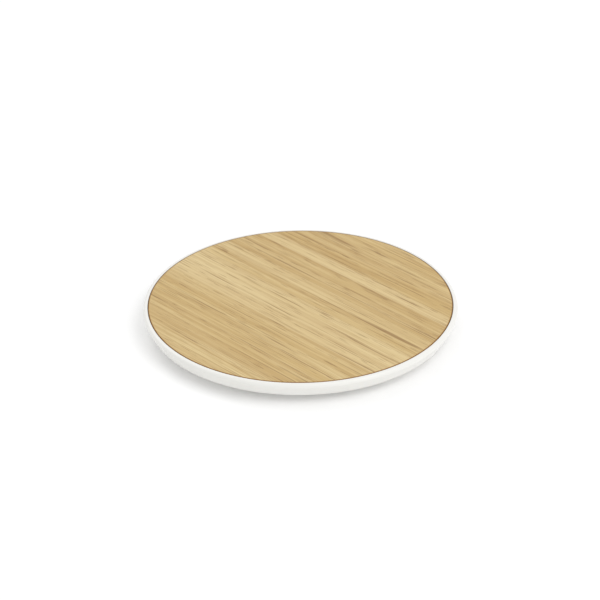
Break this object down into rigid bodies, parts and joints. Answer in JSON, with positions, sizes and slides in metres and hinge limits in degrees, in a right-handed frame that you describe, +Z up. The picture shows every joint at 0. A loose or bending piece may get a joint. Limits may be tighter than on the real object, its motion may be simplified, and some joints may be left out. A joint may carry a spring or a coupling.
{
  "type": "wireless charging pad",
  "caption": "Round, thin wireless charging pad: flush bamboo disc in a white two-shell housing, with coil, ferrite, driver board and a socket at the back.",
  "frame": {"origin": "on the surface that the pad stands on, under the pad's centre", "axes": "+Z up through the charging surface, +Y towards the socket at the back, +X along the grain of the bamboo"},
  "size_m": [0.1, 0.1, 0.0075],
  "materials": {
    "bamboo": "satin",
    "white_plastic": "satin",
    "adhesive": "matte",
    "copper_litz": "satin",
    "ferrite": "matte",
    "board": "satin",
    "nickel_steel": "satin",
    "gold_contact": "satin",
    "black_plastic": "matte",
    "capacitor": "satin",
    "resistor": "satin",
    "light_source": "satin",
    "clear_plastic": "gloss",
    "screw_steel": "satin",
    "foot_rubber": "matte"
  },
  "bodies": {
    "root": {"bamboo_disc": "bamboo", "disc_adhesive": "adhesive", "upper_housing": "white_plastic", "base_cover": "white_plastic", "charging_coil": "copper_litz", "coil_tape": "adhesive", "ferrite_shield": "ferrite", "ferrite_tape": "adhesive", "main_board": "board", "controller_chip": "black_plastic", "power_stage_1": "black_plastic", "power_stage_2": "black_plastic", "regulator_chip": "black_plastic", "resonant_capacitor_1": "capacitor", "resonant_capacitor_2": "capacitor", "resonant_capacitor_3": "capacitor", "resonant_capacitor_4": "capacitor", "input_capacitor_1": "capacitor", "input_capacitor_2": "capacitor", "sense_resistor": "resistor", "chip_resistor_1": "resistor", "chip_resistor_2": "resistor", "chip_resistor_3": "resistor", "chip_resistor_4": "resistor", "chip_resistor_5": "resistor", "chip_resistor_6": "resistor", "sensor_bead": "black_plastic", "sensor_lead_1": "nickel_steel", "sensor_lead_2": "nickel_steel", "status_light": "light_source", "light_pipe": "clear_plastic", "socket_shell": "nickel_steel", "socket_insulator": "black_plastic", "socket_contact_1": "gold_contact", "socket_contact_2": "gold_contact", "socket_contact_3": "gold_contact", "socket_contact_4": "gold_contact", "socket_contact_5": "gold_contact", "screw_1": "screw_steel", "screw_2": "screw_steel", "screw_3": "screw_steel", "screw_4": "screw_steel", "foot_1": "foot_rubber", "foot_2": "foot_rubber", "foot_3": "foot_rubber", "foot_4": "foot_rubber"}
  },
  "joints": []
}
